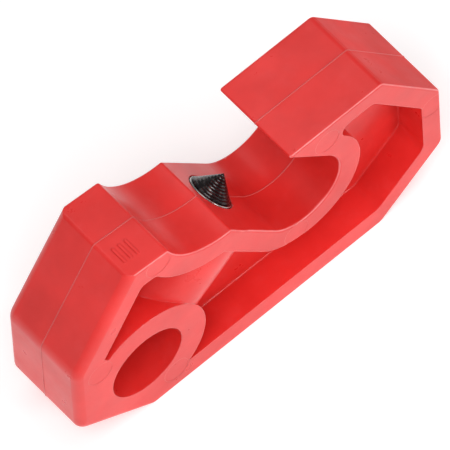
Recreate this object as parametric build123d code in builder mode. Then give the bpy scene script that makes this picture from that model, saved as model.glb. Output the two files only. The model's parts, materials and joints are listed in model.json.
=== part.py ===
"""Hand tool for dressing ski and snowboard edges: a moulded hook body with a cone-point cutter.

Millimetres, +Z up.  X runs along the tool, Y through its thickness and the tool stands on the
flat of its heel.  The side outline is drawn from the heel corner and then centred on X = 0.
"""

import os
from math import atan2, cos, hypot, radians, sin

from build123d import *

os.makedirs("parts", exist_ok=True)

# ---- moulding: side outline, (x, z) from the corner where heel and base flat meet ----
THICKNESS = 25.0
BOX_MIDDLE_X = 37.387            # middle of the outline's length, from the heel corner
BASE_CORNER = (0.0, 0.0)
BASE_END = (73.05, 0.0)
TOE_LOW = (93.0, 14.4)
TOE_HIGH = (93.8, 37.2)
HOOK_BACK = (77.6, 59.8)
HOOK_TOP_Z = 59.7                # height of the hook's top flat, parallel to the base
HOOK_TIP = (48.9, HOOK_TOP_Z)
RIDGE = (30.43, 48.48)           # crest between the finger scoop and the cutter's flat
SCOOP_MIDDLE = (18.6, 52.3)
CROWN_FRONT = (12.4, 61.0)
CROWN_BACK = (0.5, 62.3)
HEEL_HIGH = (-18.1, 36.8)
HEEL_LOW = (-19.1, 13.0)
HEEL_LOW_ROUND = 4.0
HEEL_HIGH_ROUND = 6.0
FLAT_SLOPE = -51.7               # degrees; the cutter's flat and the hook's underside

# ---- work slot, finger hole and the ribs left around the pockets ----
SLOT_RADIUS = 11.2
SLOT_END_ALONG_FLAT = 20.3       # from the ridge to the start of the slot's round end
HOLE_CENTRE = (2.18, 20.16)
HOLE_RADIUS = 10.5
HOLE_RING_RADIUS = 17.8
WEB = 7.4                        # thickness left between the two pockets
BASE_RIM = 6.5
TOE_RIM = 5.6
HOOK_RIM = 5.2
SLOT_RIM = 6.2
SCOOP_RIM = 6.6
CROWN_RIM = 6.8
POCKET_TIP = (-9.5, 36.2)        # where the heel pocket runs out beside the finger ring
EDGE_ROUND = 0.6
HEEL_EDGE_ROUND = 2.6            # the heel's edges, which lie in the palm, are rounder
HEEL_FORM_GAP = 0.03             # the heel's trimming form stands this far outside the blank
HEEL_FORM_REACH = 10.0
HEEL_FORM_END = ((120.0, -20.0), (120.0, 80.0))     # clear of the rest of the tool
POCKET_ROUND = 0.4

# ---- marks left by the mould ----
EJECTOR_RADIUS = 3.6
EJECTOR_DEPTH = 0.08
EJECTOR_SPOTS = ((-11.1, 31.7), (9.0, 58.6), (60.2, 53.7), (91.3, 33.0), (48.5, 25.0), (9.9, 6.8))
MARK_HEIGHT = 0.25               # three plain raised bars on the crown
MARK_BAR = (0.8, 5.0)
MARK_PITCH = 1.9
MARK_ALONG_CROWN = 4.4
MARK_FORWARD = 6.0

# ---- cutter: 12 mm cone-point screw, its thread shown as a plain crest diameter ----
CUTTER_RADIUS = 5.85
CUTTER_RISE = -0.2               # the point's base, above the flat
CUTTER_LENGTH = 25.0
CUTTER_ALONG_FLAT = 8.45         # axis, from the ridge
CUTTER_TO_REAR = 1.5             # the bore sits off the middle of the thickness
CUTTER_BEVEL = 0.3
POINT_STEP = 0.35                # narrow neck that parts the point from the shank
SOCKET_ACROSS_FLATS = 6.0
SOCKET_DEPTH = 6.0
THREAD_CLEARANCE = 0.05
MOUTH_GAP = 0.2                  # between the cutter and the plastic lip around it
BOSS_RADIUS = 12.45
BOSS_ALONG_FLAT = 5.3            # the boss runs towards the finger ring

# ---- brass threaded insert buried in the boss ----
INSERT_RADIUS = 7.2
INSERT_LENGTH = 16.0
INSERT_BELOW_FLAT = 3.5
KNURL_COUNT = 24
KNURL_DEPTH = 0.35
INSERT_NECK = 2.0                # plain band in the middle of the knurl

SIDE = Plane(origin=(-BOX_MIDDLE_X, 0, 0), x_dir=(1, 0, 0), z_dir=(0, -1, 0))
ALONG = (cos(radians(FLAT_SLOPE)), sin(radians(FLAT_SLOPE)))     # down the cutter's flat
OUT = (-ALONG[1], ALONG[0])                                      # square out of the flat


def shifted(point, along=0.0, out=0.0):
    """A drawing point moved down the cutter's flat and square out of it."""
    return (
        point[0] + along * ALONG[0] + out * OUT[0],
        point[1] + along * ALONG[1] + out * OUT[1],
    )


def inset(start, end, depth):
    """The line from start to end, moved into the body (its left) by depth."""
    run, rise = end[0] - start[0], end[1] - start[1]
    size = hypot(run, rise)
    return (start[0] - rise / size * depth, start[1] + run / size * depth), (run, rise)


def extended(start, end, reach):
    """The point that lies reach beyond end, on the line from start."""
    run, rise = unit((end[0] - start[0], end[1] - start[1]))
    return end[0] + run * reach, end[1] + rise * reach


def meet(first, second):
    """The crossing point of two (point, direction) lines."""
    (x1, z1), (u1, w1) = first
    (x2, z2), (u2, w2) = second
    step = ((x2 - x1) * w2 - (z2 - z1) * u2) / (u1 * w2 - w1 * u2)
    return x1 + step * u1, z1 + step * w1


def circle_point(centre, radius, towards):
    """The point of a circle that faces another point."""
    angle = atan2(towards[1] - centre[1], towards[0] - centre[0])
    return centre[0] + radius * cos(angle), centre[1] + radius * sin(angle)


def unit(direction):
    """The direction at length one."""
    size = hypot(*direction)
    return direction[0] / size, direction[1] / size


def circle_line(centre, radius, line):
    """Where a (point, unit direction) line leaves a circle, going along the direction."""
    (x, z), (u, w) = line
    across_x, across_z = x - centre[0], z - centre[1]
    along = across_x * u + across_z * w
    gap = across_x**2 + across_z**2 - radius**2
    step = -along + (along**2 - gap) ** 0.5
    return x + step * u, z + step * w


# points that follow from the dimensions above
SLOT_CENTRE = shifted(RIDGE, SLOT_END_ALONG_FLAT, SLOT_RADIUS)
SLOT_LOW = shifted(SLOT_CENTRE, out=-SLOT_RADIUS)
SLOT_BOTTOM = shifted(SLOT_CENTRE, along=SLOT_RADIUS)
SLOT_HIGH = shifted(SLOT_CENTRE, out=SLOT_RADIUS)
HOOK_TOP_LINE = ((0.0, HOOK_TOP_Z), (-1.0, 0.0))
HOOK_BACK_TOP = meet((HOOK_BACK, (TOE_HIGH[0] - HOOK_BACK[0], TOE_HIGH[1] - HOOK_BACK[1])), HOOK_TOP_LINE)
CUTTER_ON_FLAT = shifted(RIDGE, CUTTER_ALONG_FLAT)
BOSS_ON_FLAT = shifted(RIDGE, BOSS_ALONG_FLAT)

SLOT_RIM_RADIUS = SLOT_RADIUS + SLOT_RIM
RIM_LOW = shifted(SLOT_CENTRE, out=-SLOT_RIM_RADIUS)
RIM_BOTTOM = shifted(SLOT_CENTRE, along=SLOT_RIM_RADIUS)
RIM_HIGH = shifted(SLOT_CENTRE, out=SLOT_RIM_RADIUS)
base_line = inset(BASE_CORNER, BASE_END, BASE_RIM)
toe_slope_line = inset(BASE_END, TOE_LOW, TOE_RIM)
toe_line = inset(TOE_LOW, TOE_HIGH, TOE_RIM)
hook_back_line = inset(TOE_HIGH, HOOK_BACK, TOE_RIM)
hook_top_line = ((0.0, HOOK_TOP_Z - HOOK_RIM), (-1.0, 0.0))
crown_line = inset(CROWN_FRONT, CROWN_BACK, CROWN_RIM)
crown_slope_line = inset(CROWN_BACK, HEEL_HIGH, CROWN_RIM)

SCOOP_ARC = ThreePointArc(CROWN_FRONT, SCOOP_MIDDLE, RIDGE)
SCOOP_CENTRE = (SCOOP_ARC.arc_center.X, SCOOP_ARC.arc_center.Y)
SCOOP_RIM_RADIUS = SCOOP_ARC.radius + SCOOP_RIM
RIDGE_INSIDE = circle_line(SCOOP_CENTRE, SCOOP_RIM_RADIUS, (shifted(RIDGE, out=-SLOT_RIM), ALONG))
BASE_INSIDE = meet(base_line, toe_slope_line)
TOE_LOW_INSIDE = meet(toe_slope_line, toe_line)
TOE_HIGH_INSIDE = meet(toe_line, hook_back_line)
HOOK_BACK_INSIDE = meet(hook_back_line, hook_top_line)
HOOK_TOP_INSIDE = meet(hook_top_line, (RIM_HIGH, ALONG))
CROWN_BACK_INSIDE = meet(crown_line, crown_slope_line)
SCOOP_INSIDE = circle_point(SCOOP_CENTRE, SCOOP_RIM_RADIUS, SCOOP_MIDDLE)
CROWN_FRONT_INSIDE = circle_line(SCOOP_CENTRE, SCOOP_RIM_RADIUS, (crown_line[0], unit(crown_line[1])))
HOLE_BELOW_FLAT = (RIDGE[0] - HOLE_CENTRE[0]) * OUT[0] + (RIDGE[1] - HOLE_CENTRE[1]) * OUT[1]
POINT_HEIGHT = CUTTER_RISE + CUTTER_RADIUS


def round_corners(sketch, corners):
    """Round each named corner of a sketch with its own radius."""
    for corner, radius in corners:
        fillet(sketch.vertices().sort_by_distance(corner)[0], radius)


def place(point, rearward=0.0):
    """A drawing point in the row's own frame, moved towards the rear face."""
    return SIDE.from_local_coords(Vector(point[0], point[1], -rearward))


def square_to_flat(point, out, rearward=0.0):
    """A plane parallel to the cutter's flat, out millimetres above a point on it."""
    centre = place(shifted(point, out=out), rearward)
    return Plane(origin=centre, x_dir=(0, 1, 0), z_dir=(OUT[0], 0, OUT[1]))


def cutter_plane(out):
    """A plane square to the cutter's axis, out millimetres above the flat."""
    return square_to_flat(CUTTER_ON_FLAT, out, CUTTER_TO_REAR)


def cutter_section():
    """The plane through the cutter's axis, with its X across it and its Y out along it."""
    centre = place(CUTTER_ON_FLAT, CUTTER_TO_REAR)
    return Plane(origin=centre, x_dir=(ALONG[0], 0, ALONG[1]), z_dir=(0, -1, 0))


CUTTER_AXIS = Axis(place(CUTTER_ON_FLAT, CUTTER_TO_REAR), (OUT[0], 0, OUT[1]))
CROWN_OUT = unit((CROWN_BACK[1] - CROWN_FRONT[1], CROWN_FRONT[0] - CROWN_BACK[0]))
MARK_PLACE = (
    CROWN_BACK[0] + MARK_ALONG_CROWN * CROWN_OUT[1],
    CROWN_BACK[1] - MARK_ALONG_CROWN * CROWN_OUT[0],
)
CROWN_PLANE = Plane(
    origin=place(MARK_PLACE, -MARK_FORWARD),
    x_dir=(CROWN_OUT[1], 0, -CROWN_OUT[0]),
    z_dir=(CROWN_OUT[0], 0, CROWN_OUT[1]),
)


# ---- blank: the rounded outer form, before anything is cut from it ----
with BuildPart() as blank:
    with BuildSketch(SIDE) as outline:
        with BuildLine():
            Line(RIDGE, SLOT_LOW)
            ThreePointArc(SLOT_LOW, SLOT_BOTTOM, SLOT_HIGH)
            Polyline(SLOT_HIGH, HOOK_TIP, HOOK_BACK_TOP, TOE_HIGH, TOE_LOW, BASE_END, BASE_CORNER)
            Polyline(BASE_CORNER, HEEL_LOW, HEEL_HIGH, CROWN_BACK, CROWN_FRONT)
            ThreePointArc(CROWN_FRONT, SCOOP_MIDDLE, RIDGE)
        make_face()
        round_corners(
            outline,
            (
                (HEEL_LOW, HEEL_LOW_ROUND),
                (HEEL_HIGH, HEEL_HIGH_ROUND),
                (BASE_CORNER, 3.0),
                (BASE_END, 3.0),
                (TOE_LOW, 3.0),
                (TOE_HIGH, 1.5),
                (HOOK_BACK_TOP, 2.0),
                (HOOK_TIP, 0.4),
                (CROWN_BACK, 1.2),
                (CROWN_FRONT, 1.0),
                (RIDGE, 0.8),
            ),
        )
    extrude(amount=THICKNESS / 2, both=True)
    big_faces = blank.faces().filter_by(Axis.Y).sort_by(SortBy.AREA)[-2:]
    fillet(big_faces.edges(), EDGE_ROUND)

# ---- heel form: rounds the heel's edges more than the rest ----
with BuildPart() as heel_form:
    with BuildSketch(SIDE) as heel_outline:
        with BuildLine():
            Polyline(
                extended(HEEL_LOW, BASE_CORNER, HEEL_FORM_REACH),
                *HEEL_FORM_END,
                extended(HEEL_HIGH, CROWN_BACK, HEEL_FORM_REACH),
                HEEL_HIGH,
                HEEL_LOW,
                close=True,
            )
        make_face()
        offset(amount=HEEL_FORM_GAP, kind=Kind.INTERSECTION, mode=Mode.REPLACE)
        round_corners(heel_outline, ((HEEL_LOW, HEEL_LOW_ROUND), (HEEL_HIGH, HEEL_HIGH_ROUND)))
    extrude(amount=THICKNESS / 2 + HEEL_FORM_GAP, both=True)
    fillet(heel_form.faces().filter_by(Axis.Y).edges(), HEEL_EDGE_ROUND)

# ---- boss: the round barrel that holds the cutter, trimmed flush with the blank ----
with BuildPart() as boss:
    with BuildSketch(square_to_flat(BOSS_ON_FLAT, 0)):
        Circle(BOSS_RADIUS)
    extrude(amount=-HOLE_BELOW_FLAT)
    add(blank.part, mode=Mode.INTERSECT)

# ---- body: one two-sided moulding with a web between its pockets ----
with BuildPart() as body:
    add(blank.part)

    # front pocket, leaving the rims, the finger ring and the web; the rear one mirrors it
    with BuildSketch(SIDE.offset(THICKNESS / 2)) as pocket:
        with BuildLine():
            Polyline(
                (HOLE_CENTRE[0], BASE_RIM),
                BASE_INSIDE,
                TOE_LOW_INSIDE,
                TOE_HIGH_INSIDE,
                HOOK_BACK_INSIDE,
                HOOK_TOP_INSIDE,
                RIM_HIGH,
            )
            ThreePointArc(RIM_HIGH, RIM_BOTTOM, RIM_LOW)
            Line(RIM_LOW, RIDGE_INSIDE)
            ThreePointArc(RIDGE_INSIDE, SCOOP_INSIDE, CROWN_FRONT_INSIDE)
            Polyline(
                CROWN_FRONT_INSIDE,
                CROWN_BACK_INSIDE,
                POCKET_TIP,
                HOLE_CENTRE,
                (HOLE_CENTRE[0], BASE_RIM),
            )
        make_face()
        with Locations(HOLE_CENTRE):
            Circle(HOLE_RING_RADIUS, mode=Mode.SUBTRACT)
        round_corners(
            pocket,
            (
                (BASE_INSIDE, 4.0),
                (TOE_LOW_INSIDE, 4.0),
                (TOE_HIGH_INSIDE, 2.5),
                (HOOK_BACK_INSIDE, 2.5),
                (HOOK_TOP_INSIDE, 2.5),
                (CROWN_FRONT_INSIDE, 2.0),
                (CROWN_BACK_INSIDE, 2.0),
            ),
        )
    extrude(amount=-(THICKNESS - WEB) / 2, mode=Mode.SUBTRACT)
    mirror(body.part, about=Plane.XZ, mode=Mode.INTERSECT)
    pocket_floors = body.faces().filter_by(Axis.Y).filter_by(
        lambda face: abs(abs(face.center().Y) - WEB / 2) < POCKET_ROUND / 2
    )
    fillet(pocket_floors.edges(), POCKET_ROUND)
    add(boss.part)

    # finger hole, and the stepped bore from it to the cutter's flat
    with BuildSketch(SIDE):
        with Locations(HOLE_CENTRE):
            Circle(HOLE_RADIUS)
    extrude(amount=THICKNESS, both=True, mode=Mode.SUBTRACT)
    with BuildSketch(cutter_plane(CUTTER_RADIUS)):
        Circle(CUTTER_RADIUS + MOUTH_GAP)
    extrude(amount=-CUTTER_RADIUS - HOLE_BELOW_FLAT, mode=Mode.SUBTRACT)
    with BuildSketch(cutter_plane(-INSERT_BELOW_FLAT)):
        Circle(INSERT_RADIUS)
    extrude(amount=-INSERT_LENGTH, mode=Mode.SUBTRACT)
    add(heel_form.part, mode=Mode.INTERSECT)

    # witness marks of the ejector pins on both faces
    for side in (-1, 1):
        with BuildSketch(SIDE.offset(side * THICKNESS / 2)):
            with Locations(*EJECTOR_SPOTS):
                Circle(EJECTOR_RADIUS)
        extrude(amount=-side * EJECTOR_DEPTH, mode=Mode.SUBTRACT)

    # plain raised bars on the crown
    with BuildSketch(CROWN_PLANE):
        with GridLocations(MARK_PITCH, 0, 3, 1):
            SlotOverall(MARK_BAR[1], MARK_BAR[0], rotation=90)
    extrude(amount=MARK_HEIGHT)
body.part.label = "body"
export_step(body.part, "parts/body.step")

# ---- thread insert: knurled brass bush, pressed into the boss ----
with BuildPart() as thread_insert:
    with BuildSketch(cutter_plane(-INSERT_BELOW_FLAT)):
        Circle(INSERT_RADIUS)
        with PolarLocations(INSERT_RADIUS, KNURL_COUNT):
            Rectangle(2 * KNURL_DEPTH, 2 * KNURL_DEPTH, rotation=45, mode=Mode.SUBTRACT)
    extrude(amount=-INSERT_LENGTH)
    with BuildSketch(cutter_plane(-INSERT_BELOW_FLAT - (INSERT_LENGTH - INSERT_NECK) / 2)):
        Circle(INSERT_RADIUS)
        Circle(INSERT_RADIUS - KNURL_DEPTH * 1.5, mode=Mode.SUBTRACT)
    extrude(amount=-INSERT_NECK, mode=Mode.SUBTRACT)
    with BuildSketch(cutter_plane(0)):
        Circle(CUTTER_RADIUS + THREAD_CLEARANCE)
    extrude(amount=-INSERT_BELOW_FLAT - INSERT_LENGTH, mode=Mode.SUBTRACT)
thread_insert.part.label = "thread_insert"
export_step(thread_insert.part, "parts/thread_insert.step")

# ---- cutter screw: right-angled cone point, plain shank, hexagon socket at its inner end ----
with BuildPart() as cutter_screw:
    with BuildSketch(cutter_section()):
        with BuildLine():
            Polyline(
                (0, POINT_HEIGHT),
                (CUTTER_RADIUS - POINT_STEP, CUTTER_RISE + POINT_STEP),
                (CUTTER_RADIUS - 2 * POINT_STEP, CUTTER_RISE),
                (CUTTER_RADIUS - 2 * POINT_STEP, CUTTER_RISE - POINT_STEP),
                (CUTTER_RADIUS - CUTTER_BEVEL, CUTTER_RISE - POINT_STEP),
                (CUTTER_RADIUS, CUTTER_RISE - POINT_STEP - CUTTER_BEVEL),
                (CUTTER_RADIUS, POINT_HEIGHT - CUTTER_LENGTH + CUTTER_BEVEL),
                (CUTTER_RADIUS - CUTTER_BEVEL, POINT_HEIGHT - CUTTER_LENGTH),
                (0, POINT_HEIGHT - CUTTER_LENGTH),
                close=True,
            )
        make_face()
    revolve(axis=CUTTER_AXIS)
    with BuildSketch(cutter_plane(POINT_HEIGHT - CUTTER_LENGTH)):
        RegularPolygon(SOCKET_ACROSS_FLATS / 2, 6, major_radius=False)
    extrude(amount=SOCKET_DEPTH, mode=Mode.SUBTRACT)
cutter_screw.part.label = "cutter_screw"
export_step(cutter_screw.part, "parts/cutter_screw.step")
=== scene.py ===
"""Looks for the edge tuning tool: a red moulded hook body with a black cone-point cutter."""

import json
import math

import bmesh
import bpy
from mathutils import Matrix, Vector, noise


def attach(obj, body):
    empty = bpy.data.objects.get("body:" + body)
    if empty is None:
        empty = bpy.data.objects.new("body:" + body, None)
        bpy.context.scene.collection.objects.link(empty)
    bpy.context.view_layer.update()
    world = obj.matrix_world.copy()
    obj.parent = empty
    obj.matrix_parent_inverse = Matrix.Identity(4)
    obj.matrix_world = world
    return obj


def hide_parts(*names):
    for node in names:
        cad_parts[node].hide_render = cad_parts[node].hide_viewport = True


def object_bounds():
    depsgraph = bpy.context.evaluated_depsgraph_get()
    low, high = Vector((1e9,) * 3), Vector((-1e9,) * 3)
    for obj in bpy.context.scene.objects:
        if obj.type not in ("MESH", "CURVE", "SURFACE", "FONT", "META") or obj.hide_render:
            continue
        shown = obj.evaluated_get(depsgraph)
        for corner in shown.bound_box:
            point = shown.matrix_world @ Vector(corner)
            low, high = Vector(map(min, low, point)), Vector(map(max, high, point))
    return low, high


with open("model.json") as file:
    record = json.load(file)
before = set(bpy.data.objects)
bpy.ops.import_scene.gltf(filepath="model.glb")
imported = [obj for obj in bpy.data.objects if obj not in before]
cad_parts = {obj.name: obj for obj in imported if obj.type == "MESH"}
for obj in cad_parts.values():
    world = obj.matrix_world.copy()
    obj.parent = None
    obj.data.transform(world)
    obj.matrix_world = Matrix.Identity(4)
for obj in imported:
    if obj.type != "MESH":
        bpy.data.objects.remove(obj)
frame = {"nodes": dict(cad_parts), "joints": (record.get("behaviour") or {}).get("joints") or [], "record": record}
CAD_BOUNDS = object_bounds()

MM = 0.001
TURN = 2 * math.pi
ACROSS = Vector((0, 1, 0))            # through the tool's thickness
HALF_THICKNESS = CAD_BOUNDS[1].y
SHARP_ANGLE = math.radians(32)        # edges that turn by more than this stay sharp

# ---- camera ----
VIEW_AZIMUTH = math.radians(-34.5)
VIEW_ELEVATION = math.radians(60.85)
VIEW_ROLL = math.radians(7.57)
VIEW_DISTANCE = 2.97
VIEW_WIDTH = 0.10487                  # what the frame's width covers at the aim point
VIEW_REACH = 20                       # nothing further from the camera than this is drawn
SENSOR = 36.0
AIM_FROM_MIDDLE = Vector((3.43, 4.95, -15.99)) * MM

# ---- studio ----
LIGHT_AIM = Vector((0, 0, 30)) * MM
SKY_STRENGTH = 0.27
SOFTBOXES = (                         # name, place, side in metres, power in watts
    ("top_softbox", (0.25, 0.15, 1.2), 0.8, 2.9),
    ("front_softbox", (0.32, -1.0, 0.48), 0.32, 4.4),
    ("right_softbox", (1.0, -0.3, 0.6), 0.6, 2.0),
    ("left_softbox", (-0.5, -0.4, 1.0), 0.6, 7.2),
)
FLOOR_REACH = 4.0                     # from the middle to each side, in metres
FLOOR_GLOW = 0.36                     # brings the board up to white

# ---- colours ----
WHITE = (1, 1, 1, 1)
DEEP_RED = (0.61, 0.0180, 0.0150, 1)
FRESH_RED = (0.79, 0.0300, 0.0270, 1)
BLOOM_RED = (0.80, 0.16, 0.17, 1)
# painted highlight for the sharp edges next to the front and rear faces
PAINTED_EDGE_HIGHLIGHT_RED = (0.90, 0.36, 0.36, 1)
# painted highlight for the tight roundings next to the front and rear faces
PAINTED_ROUNDING_HIGHLIGHT_RED = (0.92, 0.42, 0.43, 1)
FLASH_WHITENING = 0.07
BLACKING = (0.030, 0.027, 0.028, 1)
WORN_BLACKING = (0.15, 0.135, 0.13, 1)
WORN_STEEL_AND_HIGHLIGHT = (0.50, 0.47, 0.45, 1)
BRASS = (0.80, 0.56, 0.22, 1)
DULL_BRASS = (0.52, 0.34, 0.13, 1)
BOARD_SHADE = (0.79, 0.79, 0.79, 1)
BOARD_LIGHT = (0.82, 0.82, 0.82, 1)

# ---- a Mix node's sockets when it mixes colours ----
MIX_SHARE, MIX_FIRST, MIX_SECOND = 0, 6, 7
MIX_RESULT = 2

# ---- patterns of noise: scale per metre, detail, roughness ----
CLOUDS = (48, 4, 0.55)
BLOOM = (160, 6, 0.7)
ROUNDING_HIGHLIGHT_BREAKUP = (210, 4, 0.6)
PLASTIC_GLOSS = (120, 6, 0.65)
RIPPLES = (34, 2, 0.4)
SCUFFS = (9, 4, 0.6)
MOULD_GRAIN = (1500, 3, 0.6)
BLACKING_WEAR = (900, 5, 0.6)
STEEL_GLOSS = (600, 4, 0.6)
STEEL_PITS = (5200, 4, 0.65)
TARNISH = (300, 4, 0.6)
BRASS_GLOSS = (500, 4, 0.6)
TOOL_LINES = (4000, 2, 0.5)
BOARD_TONE = (3, 3, 0.5)
BOARD_GLOSS = (40, 3, 0.5)

# ---- reliefs raised by those patterns: depth, strength ----
RIPPLE_RELIEF = (1.1 * MM, 0.60)
SCUFF_RELIEF = (0.06 * MM, 0.25)
GRAIN_RELIEF = (0.03 * MM, 0.16)
PIT_RELIEF = (0.03 * MM, 0.4)
LINE_RELIEF = (0.02 * MM, 0.4)
SCUFF_STRETCH = (1, 1, 60)
SCUFF_TURN = (0.0, math.radians(38), math.radians(20))

# ---- skin of the moulding ----
EDGE_SOFTNESS = 0.35 * MM
EDGE_SAMPLES = 6
EDGE_BAND = (11.8 * MM, 11.95 * MM)   # from the middle of the thickness, just inside the big faces
EDGE_LEAN_IN = (0.30, 0.55)           # the normal's share along Y where a rounding's painted highlight band begins
EDGE_LEAN_OUT = (0.72, 0.92)          # and where it ends
TIGHT_ROUNDING = (1.0 * MM, 1.6 * MM)  # the heel's wider rounding is left plain
HOOK_BACK_FACING = (0.81, 0.0, 0.58)  # the sloping back of the hook has a duller skin
HOOK_BACK_MATCH = (0.94, 0.98)        # how nearly a face must face that way
TOE_END = (30 * MM, 34 * MM)          # and how far along X it must be
PLASTIC_SHEEN = (0.5, 0.03)           # on the whole moulding, and on the back of the hook
TRANSLUCENT_REACH = (1.0, 0.12, 0.08)
TRANSLUCENT_DEPTH = 2.2 * MM

# ---- parting line ----
FLASH_HEIGHT = 0.13 * MM
FLASH_SHOULDER = 0.35                 # height of its shoulders as a share of the whole
FLASH_HALF_WIDTH = 0.17 * MM
FLASH_ROOT = 0.08 * MM
FLASH_STEP = 0.6 * MM
FLASH_SWELL = (0.75, 0.5, 220)        # mean height, how far it varies, variations per metre
FLASH_CLEAR_OF_HOLE = 12.0 * MM       # from the finger hole's axis
FLASH_CLEAR_OF_AXIS = 6.5 * MM        # from the cutter's axis
FLASH_CLEAR_OF_POCKET = 7.5 * MM      # from the cutter's axis, beside the thread insert
FLASH_CLEAR_OF_INSERT = 1.5 * MM      # beyond each end of the thread insert
WELD_DISTANCE = 0.002 * MM

# ---- cutter screw, along its axis from the tip ----
SEGMENTS = 120
ANGLES = [TURN * i / SEGMENTS for i in range(SEGMENTS)]
TIP_FLAT = 0.12 * MM
TIP_APEX = 0.4                        # distance of the first point, as a share of TIP_FLAT
TIP_RING = (0.6, 0.8)                 # radius and distance of the next ring, likewise
TURNING_PITCH = 0.55 * MM
TURNING_DEPTH = 0.085 * MM
TURNING_LAND = (0.10, 0.62)           # start and end of the flat between two grooves, in pitches
TURNING_GROOVE = 0.84
POINT_RADIUS = 5.22 * MM
NECK_RADIUS = 5.00 * MM
NECK = (                              # radius, distance below the cone
    (POINT_RADIUS, 0.0),
    (POINT_RADIUS, 0.06 * MM),
    (NECK_RADIUS, 0.09 * MM),
    (NECK_RADIUS, 0.20 * MM),
)
SHOULDER = (                          # distance in from the crest, distance below the cone
    (0.36 * MM, 0.22 * MM),
    (0.20 * MM, 0.26 * MM),
    (0.08 * MM, 0.38 * MM),
    (0.0, 0.58 * MM),
)
SHOULDER_FROM_TIP = 5.56 * MM         # the pale turned edge just above the plastic: partly worn-through steel, partly painted highlight
SHOULDER_BAND = 0.11 * MM
SHOULDER_CORE = 0.6                   # share of the band that is fully pale
THREAD_START = 6.45 * MM
THREAD_PITCH = 1.75 * MM
THREAD_DEPTH = 1.07 * MM
THREAD_ROOT = 0.125                   # the root's flat, the flank's rise and its full height, as
THREAD_FLANK = 0.75                   # shares of the sharp profile
THREAD_CREST = 0.875
THREAD_ROWS = 14                      # rows of points in one turn
THREAD_FADE_ROWS = 10
THREAD_LAST_ROW = 0.15                # share of the depth left in the last row
THREAD_END = 1.1 * MM                 # up from the foot
FOOT_CHAMFER = ((0.25 * MM, 0.8 * MM), (1.05 * MM, 0.0))  # in from the crest, up from the foot
SOCKET_ACROSS_FLATS = 6.0 * MM
SOCKET_DEPTH = 6.0 * MM
SOCKET_WALL = (                       # distance out from the hexagon, depth
    (0.35 * MM, 0.0),
    (0.0, 0.3 * MM),
    (0.0, SOCKET_DEPTH),
)
DRILL_POINT = ((0.42, 0.0), (0.05, 0.9 * MM))  # radius over the socket's size, depth beyond it
DRILL_APEX = 0.3 * MM

body_node = frame["nodes"]["body"]
cutter_node = frame["nodes"]["cutter_screw"]
insert_node = frame["nodes"]["thread_insert"]
hole_centre = Vector(next(m for m in frame["record"]["mounts"] if m["name"] == "finger_hole")["pos_m"])
feed_axis = Vector(frame["joints"][0]["axis"]).normalized()
beside_axis = feed_axis.cross(ACROSS)


def extent(node, direction):
    """The least and the greatest reach of a CAD node along a direction."""
    along = [v.co.dot(direction) for v in node.data.vertices]
    return min(along), max(along)


cutter_foot, cutter_tip = extent(cutter_node, feed_axis)
insert_foot, insert_top = extent(insert_node, feed_axis)
cutter_axis_point = (
    ACROSS * (sum(extent(cutter_node, ACROSS)) / 2)
    + beside_axis * (sum(extent(cutter_node, beside_axis)) / 2)
)


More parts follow.
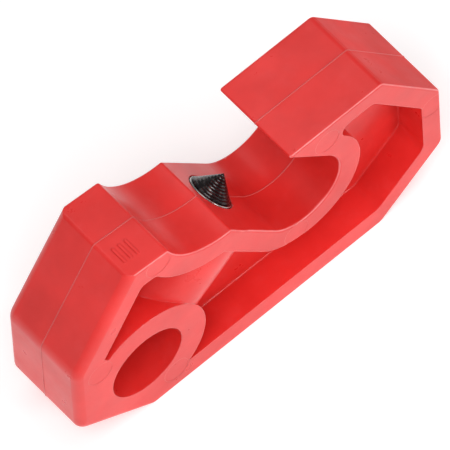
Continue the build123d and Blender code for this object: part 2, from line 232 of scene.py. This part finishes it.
# ---- material helpers ----
class Nodes:
    """A material's node tree, with short calls for the nodes that the materials share."""

    def __init__(self, name):
        self.material = bpy.data.materials.new(name)
        self.material.use_nodes = True
        self.tree = self.material.node_tree
        self.shader = next(n for n in self.tree.nodes if n.type == "BSDF_PRINCIPLED")
        self.place = self.tree.nodes.new("ShaderNodeTexCoord").outputs["Object"]
        self.normal = self.tree.nodes.new("ShaderNodeNewGeometry").outputs["Normal"]

    def add(self, kind, inputs, **settings):
        node = self.tree.nodes.new(kind)
        for key, value in settings.items():
            setattr(node, key, value)
        for key, value in inputs.items():
            self.feed(node, key, value)
        return node

    def feed(self, node, key, value):
        if isinstance(value, bpy.types.NodeSocket):
            self.tree.links.new(value, node.inputs[key])
        else:
            node.inputs[key].default_value = value

    def maths(self, operation, *values):
        return self.add("ShaderNodeMath", dict(enumerate(values)), operation=operation).outputs[0]

    def times(self, first, second):
        return self.maths("MULTIPLY", first, second)

    def minus(self, first, second):
        return self.maths("SUBTRACT", first, second)

    def dot(self, first, second):
        inputs = {0: first, 1: second}
        return self.add("ShaderNodeVectorMath", inputs, operation="DOT_PRODUCT").outputs["Value"]

    def part_along(self, vector, axis):
        return self.add("ShaderNodeSeparateXYZ", {0: vector}).outputs[axis]

    def size_along_y(self, vector):
        return self.maths("ABSOLUTE", self.part_along(vector, "Y"))

    def noise(self, pattern, place=None):
        scale, detail, roughness = pattern
        inputs = {"Vector": place or self.place, "Scale": scale, "Detail": detail, "Roughness": roughness}
        return self.add("ShaderNodeTexNoise", inputs).outputs["Fac"]

    def spread(self, value, low, high, start=0.3, end=0.7):
        """Runs from low to high while the value runs from start to end."""
        inputs = {"Value": value, "From Min": start, "From Max": end, "To Min": low, "To Max": high}
        return self.add("ShaderNodeMapRange", inputs).outputs["Result"]

    def blend(self, share, first, second):
        inputs = {MIX_SHARE: share, MIX_FIRST: first, MIX_SECOND: second}
        return self.add("ShaderNodeMix", inputs, data_type="RGBA").outputs[MIX_RESULT]

    def bump(self, height, relief, normal=None):
        distance, strength = relief
        inputs = {"Height": height, "Distance": distance, "Strength": strength}
        if normal is not None:
            inputs["Normal"] = normal
        return self.add("ShaderNodeBump", inputs).outputs["Normal"]

    def near_big_face(self):
        """One at the front and rear faces, fading to zero a little inside them."""
        return self.spread(self.size_along_y(self.place), 0, 1, *EDGE_BAND)

    def rounded_edge(self):
        """One on a tight rounding next to a big face, and zero elsewhere."""
        lean = self.size_along_y(self.normal)
        middle = self.times(self.spread(lean, 0, 1, *EDGE_LEAN_IN), self.spread(lean, 1, 0, *EDGE_LEAN_OUT))
        inset = self.minus(HALF_THICKNESS, self.size_along_y(self.place))
        radius = self.maths("DIVIDE", inset, self.minus(1.0, lean))
        return self.times(middle, self.spread(radius, 1, 0, *TIGHT_ROUNDING))

    def hook_back(self):
        """One on the sloping back of the hook, and zero elsewhere."""
        facing = self.spread(self.dot(self.normal, HOOK_BACK_FACING), 0, 1, *HOOK_BACK_MATCH)
        return self.times(facing, self.spread(self.part_along(self.place, "X"), 0, 1, *TOE_END))

    def stretched(self):
        """Places drawn out one way, for scuffs that run along the tool."""
        inputs = {"Vector": self.place, "Scale": SCUFF_STRETCH, "Rotation": SCUFF_TURN}
        return self.add("ShaderNodeMapping", inputs).outputs["Vector"]

    def surface(self, **inputs):
        for key, value in inputs.items():
            self.feed(self.shader, key.replace("_", " "), value)
        return self.material


def paler(colour, amount):
    """The colour with more green and blue."""
    red, green, blue, alpha = colour
    return red, green + amount, blue + amount, alpha


def red_plastic(name, whitened=0.0):
    """Semi-gloss moulded polyamide: slightly translucent, with sink ripples and a fine mould grain."""
    n = Nodes(name)
    clouds = n.spread(n.noise(CLOUDS), low=0.0, high=1.0)
    colour = n.blend(clouds, paler(DEEP_RED, whitened), paler(FRESH_RED, whitened))
    bloom = n.spread(n.noise(BLOOM), low=0.0, high=0.07, start=0.52, end=0.72)
    colour = n.blend(bloom, colour, BLOOM_RED)
    soft = n.add("ShaderNodeBevel", {"Radius": EDGE_SOFTNESS}, samples=EDGE_SAMPLES).outputs["Normal"]
    # Painted highlight: a pale pink tint along the sharp edges next to the front and rear faces, where highlights
    # catch.
    turned = n.spread(n.dot(soft, n.normal), low=0.45, high=0.0, start=0.76, end=0.98)
    colour = n.blend(n.times(turned, n.near_big_face()), colour, PAINTED_EDGE_HIGHLIGHT_RED)
    # Painted highlight: a pale band on the tight roundings next to the front and rear faces, broken up by noise.
    rounding_highlight_breakup = n.spread(n.noise(ROUNDING_HIGHLIGHT_BREAKUP), low=0.22, high=0.50)
    colour = n.blend(n.times(n.rounded_edge(), rounding_highlight_breakup), colour, PAINTED_ROUNDING_HIGHLIGHT_RED)
    ripples = n.bump(n.noise(RIPPLES), RIPPLE_RELIEF, soft)
    scuffs = n.bump(n.noise(SCUFFS, n.stretched()), SCUFF_RELIEF, ripples)
    whole, hook = PLASTIC_SHEEN
    return n.surface(
        Base_Color=colour,
        Roughness=n.spread(n.noise(PLASTIC_GLOSS), low=0.26, high=0.40),
        Normal=n.bump(n.noise(MOULD_GRAIN), GRAIN_RELIEF, scuffs),
        IOR=1.46,
        Specular_IOR_Level=n.spread(n.hook_back(), low=whole, high=hook, start=0.0, end=1.0),
        Subsurface_Weight=0.16,
        Subsurface_Radius=TRANSLUCENT_REACH,
        Subsurface_Scale=TRANSLUCENT_DEPTH,
    )


def black_oxide(name):
    """Blackened turned steel, with the black worn off its crests, and a pale band round the edge of its shoulder
    that is partly worn-through steel and partly painted highlight.
    """
    n = Nodes(name)
    wear = n.spread(n.noise(BLACKING_WEAR), low=0.0, high=1.0, start=0.50, end=0.72)
    colour = n.blend(wear, BLACKING, WORN_BLACKING)
    # Partly worn-through steel, partly painted highlight: a pale band round the turned edge of the shoulder.
    shoulder = cutter_tip - SHOULDER_FROM_TIP
    from_edge = n.maths("ABSOLUTE", n.minus(n.dot(n.place, tuple(feed_axis)), shoulder))
    core = SHOULDER_BAND * SHOULDER_CORE
    worn_through_and_highlight = n.spread(from_edge, low=0.9, high=0.0, start=core, end=SHOULDER_BAND)
    colour = n.blend(worn_through_and_highlight, colour, WORN_STEEL_AND_HIGHLIGHT)
    return n.surface(
        Base_Color=colour,
        Roughness=n.spread(n.noise(STEEL_GLOSS), low=0.16, high=0.30),
        Normal=n.bump(n.noise(STEEL_PITS), PIT_RELIEF),
        Metallic=0.85,
    )


def machined_brass(name):
    """Turned brass with fine tool lines and slight tarnish."""
    n = Nodes(name)
    tarnish = n.spread(n.noise(TARNISH), low=0.0, high=1.0, start=0.4, end=0.7)
    return n.surface(
        Base_Color=n.blend(tarnish, BRASS, DULL_BRASS),
        Roughness=n.spread(n.noise(BRASS_GLOSS), low=0.22, high=0.40),
        Normal=n.bump(n.noise(TOOL_LINES), LINE_RELIEF),
        Metallic=1.0,
    )


def pale_floor(name):
    """Matt white studio board."""
    n = Nodes(name)
    return n.surface(
        Base_Color=n.blend(n.noise(BOARD_TONE), BOARD_SHADE, BOARD_LIGHT),
        Roughness=n.spread(n.noise(BOARD_GLOSS), low=0.75, high=0.9),
        Emission_Color=WHITE,
        Emission_Strength=FLOOR_GLOW,
    )


# ---- mesh helpers ----
def mesh_piece(name, vertices, faces, material):
    """A shaded mesh object, smooth apart from its sharp edges."""
    mesh = bpy.data.meshes.new(name)
    mesh.from_pydata(vertices, [], faces)
    mesh.validate()
    bm = bmesh.new()
    bm.from_mesh(mesh)
    bmesh.ops.recalc_face_normals(bm, faces=bm.faces)
    bm.to_mesh(mesh)
    bm.free()
    mesh.shade_smooth()
    mesh.set_sharp_from_angle(angle=SHARP_ANGLE)
    mesh.materials.append(material)
    piece = bpy.data.objects.new(name, mesh)
    bpy.context.scene.collection.objects.link(piece)
    return piece


def dress(node, material):
    """Gives a CAD node its finished material."""
    node.data.materials.clear()
    node.data.materials.append(material)


# ---- cutter screw, as rings of (radius, distance from the tip) at each of the angles ----
def round_ring(radius, along):
    """A ring that is round about the screw's axis."""
    return [(radius, along)] * SEGMENTS


def hexagon_radius(angle):
    """Radius of the socket's hexagon at an angle."""
    sixth = TURN / 6
    return SOCKET_ACROSS_FLATS / 2 / math.cos(angle % sixth - sixth / 2)


def thread_cut(angle, along):
    """How deep the thread is cut at an angle and a place along the shank."""
    phase = (along / THREAD_PITCH - angle / TURN) % 1.0
    climb = 1 - abs(2 * phase - 1)
    height = min(max((climb - THREAD_ROOT) / THREAD_FLANK, 0.0), THREAD_CREST)
    return THREAD_DEPTH * (THREAD_CREST - height)


def point_rings():
    """The cone with its turning grooves."""
    radius, along = TIP_RING
    rings = [round_ring(TIP_FLAT * radius, TIP_FLAT * along)]
    steps = int((POINT_RADIUS - TIP_FLAT) / TURNING_PITCH)
    pitch = (POINT_RADIUS - TIP_FLAT) / steps
    for step in range(steps):
        start = TIP_FLAT + step * pitch
        for share in TURNING_LAND:
            rings.append(round_ring(start + share * pitch, start + share * pitch))
        groove = start + TURNING_GROOVE * pitch
        rings.append(round_ring(groove - TURNING_DEPTH, groove + TURNING_DEPTH))
    return rings


def shank_rings(major, length):
    """The neck, the rounded shoulder and the threaded shank down to its chamfered foot."""
    rings = [round_ring(radius, POINT_RADIUS + drop) for radius, drop in NECK]
    rings += [round_ring(major - inset, POINT_RADIUS + drop) for inset, drop in SHOULDER]
    rings.append(round_ring(major, THREAD_START))
    run = length - THREAD_END - THREAD_START
    rows = int(run / (THREAD_PITCH / THREAD_ROWS))
    for row in range(1, rows + 1):
        along = THREAD_START + run * row / rows
        fade = min(1.0, row / THREAD_FADE_ROWS, (rows - row) / THREAD_FADE_ROWS + THREAD_LAST_ROW)
        rings.append([(major - thread_cut(angle, along) * fade, along) for angle in ANGLES])
    rings += [round_ring(major - inset, length - rise) for inset, rise in FOOT_CHAMFER]
    return rings


def socket_rings(length):
    """The hexagon socket in the foot, with a lead-in and the drill's point at its bottom."""
    hexagon = [hexagon_radius(angle) for angle in ANGLES]
    rings = [[(r + out, length - depth) for r in hexagon] for out, depth in SOCKET_WALL]
    bottom = length - SOCKET_DEPTH
    rings += [round_ring(SOCKET_ACROSS_FLATS * share, bottom - depth) for share, depth in DRILL_POINT]
    return rings


def build_cutter(material):
    """The cone-point screw on its axis, with turning grooves, a neck, a real thread and a socket."""
    near, far = extent(cutter_node, ACROSS)
    length = cutter_tip - cutter_foot
    tip = cutter_axis_point + feed_axis * cutter_tip
    rings = point_rings() + shank_rings((far - near) / 2, length) + socket_rings(length)
    vertices = [tip - feed_axis * TIP_FLAT * TIP_APEX]
    for ring in rings:
        for angle, (radius, along) in zip(ANGLES, ring):
            outward = ACROSS * math.cos(angle) + beside_axis * math.sin(angle)
            vertices.append(tip - feed_axis * along + outward * radius)
    socket_bottom = rings[-1][0][1]
    vertices.append(tip - feed_axis * (socket_bottom - DRILL_APEX))
    faces = [(0, 1 + i, 1 + (i + 1) % SEGMENTS) for i in range(SEGMENTS)]
    for ring in range(len(rings) - 1):
        here = 1 + ring * SEGMENTS
        below = here + SEGMENTS
        for i in range(SEGMENTS):
            j = (i + 1) % SEGMENTS
            faces.append((here + i, below + i, below + j, here + j))
    last = 1 + (len(rings) - 1) * SEGMENTS
    end = len(vertices) - 1
    faces += [(last + (i + 1) % SEGMENTS, last + i, end) for i in range(SEGMENTS)]
    piece = mesh_piece("cutter_screw_detail", [tuple(v) for v in vertices], faces, material)
    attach(piece, "cutter")
    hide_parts("cutter_screw")


# ---- parting line ----
def on_outer_skin(point):
    """True on the tool's outside, and false in the finger hole and in the cutter's bore."""
    if (point - hole_centre).length < FLASH_CLEAR_OF_HOLE:
        return False
    from_axis = point - cutter_axis_point
    along = from_axis.dot(feed_axis)
    beside = (from_axis - feed_axis * along).length
    pocket_foot = insert_foot - FLASH_CLEAR_OF_INSERT
    pocket_top = insert_top + FLASH_CLEAR_OF_INSERT
    if beside < FLASH_CLEAR_OF_AXIS and pocket_foot < along < cutter_tip:
        return False
    return beside > FLASH_CLEAR_OF_POCKET or not pocket_foot < along < pocket_top


def section_chains():
    """The body's outline where the two mould halves met, as chains of points."""
    bm = bmesh.new()
    bm.from_mesh(body_node.data)
    bmesh.ops.remove_doubles(bm, verts=bm.verts, dist=WELD_DISTANCE)
    cut = bmesh.ops.bisect_plane(
        bm, geom=bm.verts[:] + bm.edges[:] + bm.faces[:], plane_co=(0, 0, 0), plane_no=ACROSS
    )
    links = {}
    for item in cut["geom_cut"]:
        if isinstance(item, bmesh.types.BMEdge):
            a, b = (v.co.copy().freeze() for v in item.verts)
            if on_outer_skin(a) and on_outer_skin(b):
                links.setdefault(a, []).append(b)
                links.setdefault(b, []).append(a)
    bm.free()
    chains = []
    while links:
        start = next((p for p in links if len(links[p]) == 1), next(iter(links)))
        chain = [start]
        while links.get(chain[-1]):
            here = chain[-1]
            after = links[here].pop()
            links[after].remove(here)
            if not links[here]:
                del links[here]
            chain.append(after)
        links.pop(chain[-1], None)
        chains.append(chain)
    return [c for c in chains if len(c) > 2]


def chain_is_clockwise(chain):
    """True if the chain runs clockwise round the tool's middle, seen from the front."""
    middle = (CAD_BOUNDS[0] + CAD_BOUNDS[1]) / 2
    area = 0.0
    for a, b in zip(chain, chain[1:] + chain[:1]):
        area += (a.x - middle.x) * (b.z - middle.z) - (b.x - middle.x) * (a.z - middle.z)
    return area < 0


def resampled(chain, step):
    """The chain with extra points, so that none are further apart than step."""
    points = []
    for a, b in zip(chain, chain[1:]):
        pieces = max(1, math.ceil((b - a).length / step))
        points += [a.lerp(b, k / pieces) for k in range(pieces)]
    return points + [chain[-1]]


def inside_box(point):
    """The point, moved onto the CAD model's box if it stands outside it."""
    low, high = CAD_BOUNDS
    return tuple(min(max(point[k], low[k]), high[k]) for k in range(3))


def flash_rim(point):
    """The flash's outline across its run: (share of its half width, height)."""
    mean, variation, scale = FLASH_SWELL
    swell = mean + variation * noise.noise(point * scale)
    crest = FLASH_HEIGHT * swell
    shoulder = FLASH_HEIGHT * FLASH_SHOULDER * swell
    return (
        (-1.0, -FLASH_ROOT),
        (-0.75, shoulder),
        (-0.25, crest),
        (0.25, crest),
        (0.75, shoulder),
        (1.0, -FLASH_ROOT),
    )


def build_parting_line(material):
    """The low rounded ridge of flash that runs round the middle of the moulding."""
    vertices, faces = [], []
    for chain in section_chains():
        points = resampled(chain, FLASH_STEP)
        outward = -1 if chain_is_clockwise(chain) else 1
        for i, point in enumerate(points):
            run = points[min(i + 1, len(points) - 1)] - points[max(i - 1, 0)]
            out = Vector((run.z, 0, -run.x)).normalized() * outward
            rim = flash_rim(point)
            width = len(rim)
            first = len(vertices)
            for side, lift in rim:
                vertices.append(inside_box(point + out * lift + ACROSS * side * FLASH_HALF_WIDTH))
            if i:
                before = first - width
                for k in range(width):
                    m = (k + 1) % width
                    faces.append((before + k, before + m, first + m, first + k))
            if i == 0:
                faces.append(tuple(first + k for k in range(width)))
            if i == len(points) - 1:
                faces.append(tuple(first + k for k in reversed(range(width))))
    piece = mesh_piece("parting_line", vertices, faces, material)
    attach(piece, "handle")


# ---- studio ----
def build_floor():
    """A flat board under the tool, wide enough to fill every view."""
    low = CAD_BOUNDS[0].z
    signs = ((-1, -1), (1, -1), (1, 1), (-1, 1))
    corners = [(x * FLOOR_REACH, y * FLOOR_REACH, low) for x, y in signs]
    floor = mesh_piece("floor", corners, [(0, 1, 2, 3)], pale_floor("studio_board"))


def build_lights():
    """An even white sky and four square softboxes aimed at the tool."""
    world = bpy.data.worlds.new("studio")
    bpy.context.scene.world = world
    world.use_nodes = True
    sky = world.node_tree.nodes["Background"]
    sky.inputs["Color"].default_value = WHITE
    sky.inputs["Strength"].default_value = SKY_STRENGTH
    for name, place, side, power in SOFTBOXES:
        light = bpy.data.lights.new(name, "AREA")
        light.shape = "SQUARE"
        light.size = side
        light.energy = power
        lamp = bpy.data.objects.new(name, light)
        bpy.context.scene.collection.objects.link(lamp)
        lamp.location = place
        lamp.rotation_euler = (LIGHT_AIM - Vector(place)).to_track_quat("-Z", "Y").to_euler()


def build_camera():
    """The camera, above the front of the tool and rolled a little."""
    toward = Vector(
        (
            math.sin(VIEW_AZIMUTH) * math.cos(VIEW_ELEVATION),
            -math.cos(VIEW_AZIMUTH) * math.cos(VIEW_ELEVATION),
            math.sin(VIEW_ELEVATION),
        )
    )
    aim = (CAD_BOUNDS[0] + CAD_BOUNDS[1]) / 2 + AIM_FROM_MIDDLE
    lens = bpy.data.cameras.new("camera")
    lens.sensor_width = SENSOR
    lens.lens = SENSOR * VIEW_DISTANCE / VIEW_WIDTH
    lens.clip_end = VIEW_REACH
    camera = bpy.data.objects.new("camera", lens)
    bpy.context.scene.collection.objects.link(camera)
    turn = (-toward).to_track_quat("-Z", "Y").to_matrix() @ Matrix.Rotation(-VIEW_ROLL, 3, "Z")
    camera.matrix_world = Matrix.Translation(aim + toward * VIEW_DISTANCE) @ turn.to_4x4()
    bpy.context.scene.camera = camera


dress(body_node, red_plastic("red_moulding"))
dress(insert_node, machined_brass("insert_brass"))
build_cutter(black_oxide("cutter_steel"))
build_parting_line(red_plastic("red_flash", FLASH_WHITENING))
build_floor()
build_lights()
build_camera()
bpy.context.scene.view_settings.view_transform = "Standard"
